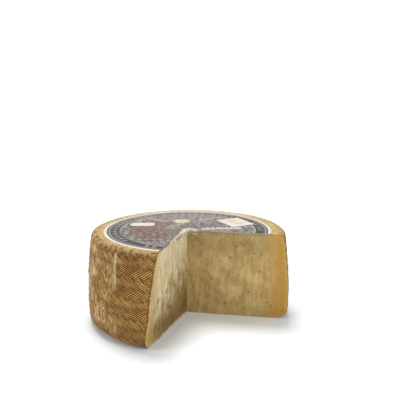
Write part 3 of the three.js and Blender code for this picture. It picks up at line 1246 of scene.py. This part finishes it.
labelLook = {
    "border": colour(226, 218, 202),
    "ink": colour(58, 48, 46),
    "inkBlue": colour(66, 64, 70),
    "stroke": colour(198, 188, 180),
    "paleRing": colour(206, 196, 186),
    "bead": colour(176, 166, 154),
    "brown": colour(90, 64, 52),
    "brownStroke": colour(178, 152, 134),
    "blush": colour(184, 160, 140),
    "sprig": colour(222, 214, 202),
    "flower": colour(222, 206, 174),
    "flowerInk": colour(186, 148, 88),
    "flowerAt": (-7, 35),
    "sprigFrom": (13, 0.5),
    "sprigTurn": 5,
    # centre, half sizes, turn and strength of each pale leaf
    "leaves": (((-30, 38), (5, 13), 52, 0.7), ((-14, 14), (6, 17), -34, 0.6),
               ((20, 44), (5, 13), -58, 0.6), ((40, 54), (4, 12), -74, 0.4)),
    "strokePitch": 1.9,
    "dashLength": 5.5,
    "strokeAngle": 34,
    "roughness": 0.42,
    "bump": 0.00008,
    # the rings, by their distances in from the label's edge
    "thinArc": (17.2, 16.0),
    "darkBand": (16.4, -1),
    "beadsAt": 11.6,
    "beads": 62,
    "ticks": (8.6, 7.2),
    "ticksPerTurn": 150,
    "whiteRing": (6.4, 5.4),
    "borderFrom": (3.8, 3.3),
}


def ringMask(radius, low, high, soft=0.25):
    return smoothMask(radius, low - soft, low + soft) * fadeMask(radius, high - soft, high + soft)


def lengthOf(x, y):
    return calc("SQRT", x * x + y * y)


def turnedPlace(x, y, centre, angle):
    dx, dy = x - centre[0], y - centre[1]
    cosine, sine = math.cos(math.radians(angle)), math.sin(math.radians(angle))
    return dx * cosine + dy * sine, dy * cosine - dx * sine


def ovalDistance(x, y, centre, size, angle):
    along, across = turnedPlace(x, y, centre, angle)
    return lengthOf(along / size[0], across / size[1])


def engravedStrokes(x, y, pitch, length, angle):
    # Short dashes in rows, each row shifted by a random step.
    along, across = turnedPlace(x, y, (0, 0), angle)
    rows = along / pitch + noiseOf(joinXyz(along, across, 0.0), 0.09, 3) * 1.3
    dashes = calc("FRACT", across / length + chanceOf(calc("FLOOR", rows), "1D"))
    rowShape = fadeMask(abs(calc("FRACT", rows) - 0.5), 0.12, 0.42)
    return rowShape * fadeMask(abs(dashes - 0.5), 0.2, 0.44)


def innerField(x, y, radius, angle, worn):
    # Pale engraved strokes on charcoal, browner in an arc on the left, with soft pale leaves.
    look = labelLook
    drift = noiseOf(joinXyz(x, y, 0.0), 0.035, 3, 0.55, 0.5)
    strokes = engravedStrokes(x, y, look["strokePitch"], look["dashLength"], look["strokeAngle"])
    cross = engravedStrokes(x, y, 6.4, 7.0, 84)
    strokes = calc("MAXIMUM", strokes, cross * 0.7) * smoothMask(worn, 0.3, 0.62)
    ground = mixColour(smoothMask(drift, 0.42, 0.6), look["ink"], look["inkBlue"])
    uneven = (worn - 0.5) * 14
    inArc = smoothMask(abs(angle + uneven * 0.02) - 2.02, -0.1, 0.2)
    brown = ringMask(radius + uneven, 22, 60, 4) * inArc
    ground = mixColour(brown * 0.8, ground, look["brown"])
    strokeTone = mixColour(brown, look["stroke"], look["brownStroke"])
    tone = mixColour(strokes * 0.94, ground, strokeTone)
    for centre, size, turn, amount in look["leaves"]:
        leaf = fadeMask(ovalDistance(x, y, centre, size, turn) + (worn - 0.5) * 1.1, 0.72, 1.05)
        tone = mixColour(leaf * amount * remap(strokes, 0, 1, 0.75, 1.0), tone, look["blush"])
    return tone


def withSprig(tone, x, y):
    # A pale sprig of slanted leaves.
    along, across = turnedPlace(x, y, labelLook["sprigFrom"], labelLook["sprigTurn"])
    side = abs(across)
    leaves = smoothMask(calc("SINE", (along - side * 0.8) * 1.3), -0.75, -0.2) * fadeMask(side, 4.0, 5.0)
    sprig = leaves * smoothMask(along, 0, 2) * fadeMask(along, 40, 43)
    return mixColour(sprig * 0.9, tone, labelLook["sprig"])


def withFlower(tone, x, y):
    # A round flower of seven petals at the back of the field.
    look = labelLook
    along, across = turnedPlace(x, y, look["flowerAt"], 0)
    radius = lengthOf(along, across)
    petals = radius + calc("COSINE", calc("ARCTAN2", across, along) * 7) * 1.1
    lines = calc("MAXIMUM", ringMask(petals, 5.6, 6.8), ringMask(radius, -1, 2.6, 0.5))
    flowerTone = mixColour(lines * 0.7, look["flower"], look["flowerInk"])
    return mixColour(fadeMask(petals, 8.0, 8.8), tone, flowerTone)


def withRings(tone, radius, angle):
    # From the inside: a broken pale arc, a dark band with beads, ticks, a pale ring and the border.
    look = labelLook
    edge = paper["label"]["radius"]
    ringInk = [0.6 * a + 0.4 * b for a, b in zip(look["ink"], look["inkBlue"])]

    def ringAt(key):
        return ringMask(radius, edge - look[key][0], edge - look[key][1])

    tone = mixColour(ringAt("darkBand"), tone, ringInk)
    sector = angle * look["beads"] / tau
    chance = chanceOf(calc("FLOOR", sector), "1D")
    beadX = (calc("FRACT", sector) - 0.5) * remap(chance, 0, 1, 2.1, 4.6)
    beadY = (radius - (edge - look["beadsAt"])) / 3.2
    bead = fadeMask(lengthOf(beadX, beadY), 0.62, 0.95) * smoothMask(chance, 0.12, 0.2)
    tone = mixColour(bead * 0.75, tone, look["bead"])
    ticks = smoothMask(calc("SINE", angle * look["ticksPerTurn"]), 0.1, 0.7) * ringAt("ticks") * 0.45
    tone = mixColour(ticks, tone, look["bead"])
    arcPart = smoothMask(calc("SINE", angle * 3 + 0.7), -0.5, 0.1)
    arc = ringAt("thinArc") * remap(arcPart, 0, 1, 0.45, 1.0)
    tone = mixColour(arc * 0.7, tone, look["paleRing"])
    tone = mixColour(ringAt("whiteRing") * 0.8, tone, look["paleRing"])
    start, full = look["borderFrom"]
    return mixColour(smoothMask(radius, edge - start, edge - full), tone, look["border"])


def finishPaper(tree, shader, paperGroup, tone, smudge, roughness, bump=None):
    # The printed tone on handled paper.
    handled = useGroup(paperGroup, Vector=objectPlace(tree), Smudge=smudge)
    feed(shader, {"Base Color": tinted(tone, handled["Shade"]), "Roughness": roughness})
    if bump is not None:
        feed(shader, {"Normal": bumpOf(handled["Height"], bump, 0.5)})


def makeLabelMaterial(paperGroup):
    look = labelLook
    material, tree, shader = newMaterial("labelPrint")
    x, y = splitXyz(attributeOf(tree, "print", "Vector"))[:2]
    radius, angle = lengthOf(x, y), calc("ARCTAN2", y, x)
    worn = noiseOf(joinXyz(x, y, 0.0), 0.16, 4, 0.6)
    tone = innerField(x, y, radius, angle, worn)
    tone = withFlower(withSprig(tone, x, y), x, y)
    tone = withRings(tone, radius, angle)
    farSheen = smoothMask(y, 0, 80) * fadeMask(x, 20, 60) * 0.26
    tone = mixColour(farSheen, tone, look["stroke"])
    roughness = remap(worn, 0.3, 0.7, look["roughness"] - 0.06, look["roughness"] + 0.14)
    finishPaper(tree, shader, paperGroup, tone, 0.4, roughness, look["bump"])
    return material


def makePaperEdgeMaterial(paperGroup):
    material, tree, shader = newMaterial("paperEdge")
    finishPaper(tree, shader, paperGroup, colour(212, 200, 176), 0.5, 0.8)
    return material


stickerLook = {
    "ground": colour(222, 214, 204),
    "mark": colour(206, 168, 106),
    "paleMark": colour(222, 198, 154),
    "grey": colour(170, 164, 158),
    "roughness": 0.5,
    "bump": 0.00006,
}


def makeSquareStickerMaterial(paperGroup):
    look = stickerLook
    material, tree, shader = newMaterial("squareStickerPaper")
    x, y = splitXyz(attributeOf(tree, "print", "Vector"))[:2]
    # Two lozenges side by side, mirrored across the middle.
    lozenge = abs(x) + abs(abs(y) - 6.4) * 1.35
    tone = mixColour(fadeMask(lozenge, 7.0, 7.8) * 0.75, look["ground"], look["paleMark"])
    tone = mixColour(ringMask(lozenge, 2.6, 4.8, 0.4) * 0.8, tone, look["mark"])
    finishPaper(tree, shader, paperGroup, tone, 0.25, look["roughness"], look["bump"])
    return material


def makeStripStickerMaterial(paperGroup):
    look = stickerLook
    material, tree, shader = newMaterial("stripStickerPaper")
    x, y = splitXyz(attributeOf(tree, "print", "Vector"))[:2]
    # Two rows of grey dots.
    dots = ringMask(abs(y), 1.2, 2.2, 0.3) * smoothMask(calc("SINE", x * 2.4), 0.2, 0.7)
    tone = mixColour(dots * fadeMask(abs(x), 8.0, 8.6) * 0.35, look["ground"], look["grey"])
    finishPaper(tree, shader, paperGroup, tone, 0.2, look["roughness"], look["bump"])
    return material


strandGroup = makeStrandGroup()
mottleGroup = makeMottleGroup()
paperGroup = makePaperGroup()
pasteMaterial = makePasteMaterial(mottleGroup)
makeCheese([makeRindMaterial(strandGroup, mottleGroup), pasteMaterial])
makeCrumbs(makeCrumbMaterial(mottleGroup))
makeLabel([makeLabelMaterial(paperGroup), makePaperEdgeMaterial(paperGroup)])
makeSticker("paleSticker", "squareSticker", "square_sticker", makeSquareStickerMaterial(paperGroup))
makeSticker("paleStrip", "stripSticker", "strip_sticker", makeStripStickerMaterial(paperGroup))
print("cheese, crumbs, label and stickers finished")
